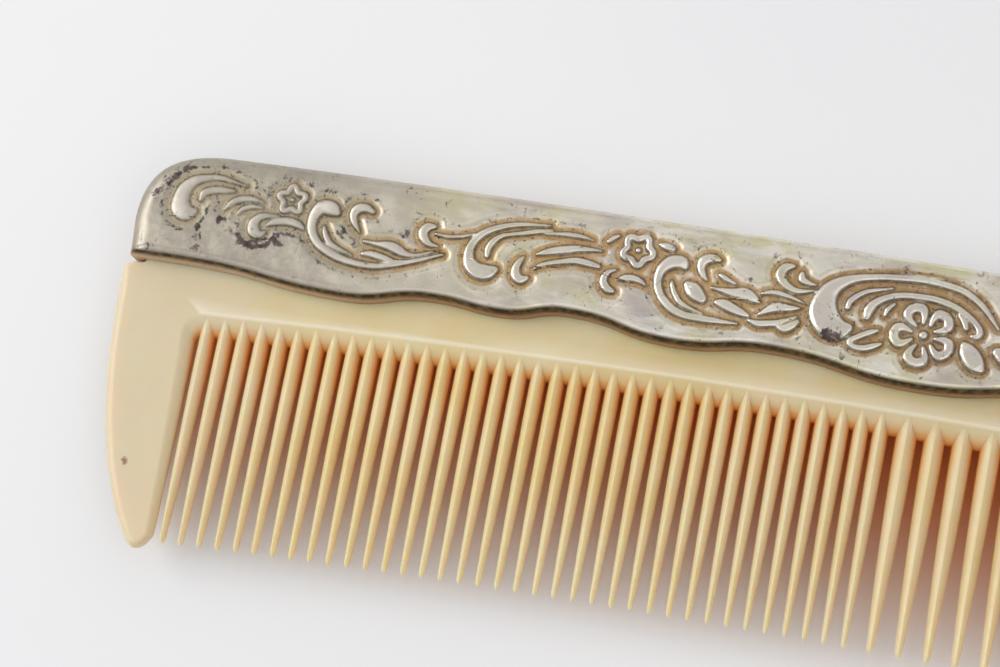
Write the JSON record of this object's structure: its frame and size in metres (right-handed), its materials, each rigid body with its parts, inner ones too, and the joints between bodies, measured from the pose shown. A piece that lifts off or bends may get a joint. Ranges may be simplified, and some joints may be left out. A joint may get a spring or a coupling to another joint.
{
  "type": "dresser hair comb",
  "caption": "Dresser hair comb: ivory-coloured blade with fine and coarse teeth between end guards, in a stamped silver-plated scrollwork spine mount.",
  "frame": {"origin": "centre of the bounding box in X and Y, on the outer face of the back shell", "axes": "+X along the comb towards the coarse teeth, +Y towards the spine (the teeth point to -Y), +Z out of the front face"},
  "size_m": [0.1812, 0.0464, 0.0102],
  "materials": {
    "ivory_plastic": "satin moulded celluloid, ivory colour",
    "silver_plate": "worn and tarnished silver plate on die-stamped brass",
    "solder": "dull soft solder",
    "cement": "dark pitch cement"
  },
  "bodies": {
    "root": {"comb_blade": "ivory_plastic", "front_shell": "silver_plate", "back_shell": "silver_plate", "solder_seam": "solder", "cement_front": "cement", "cement_back": "cement"}
  },
  "joints": []
}
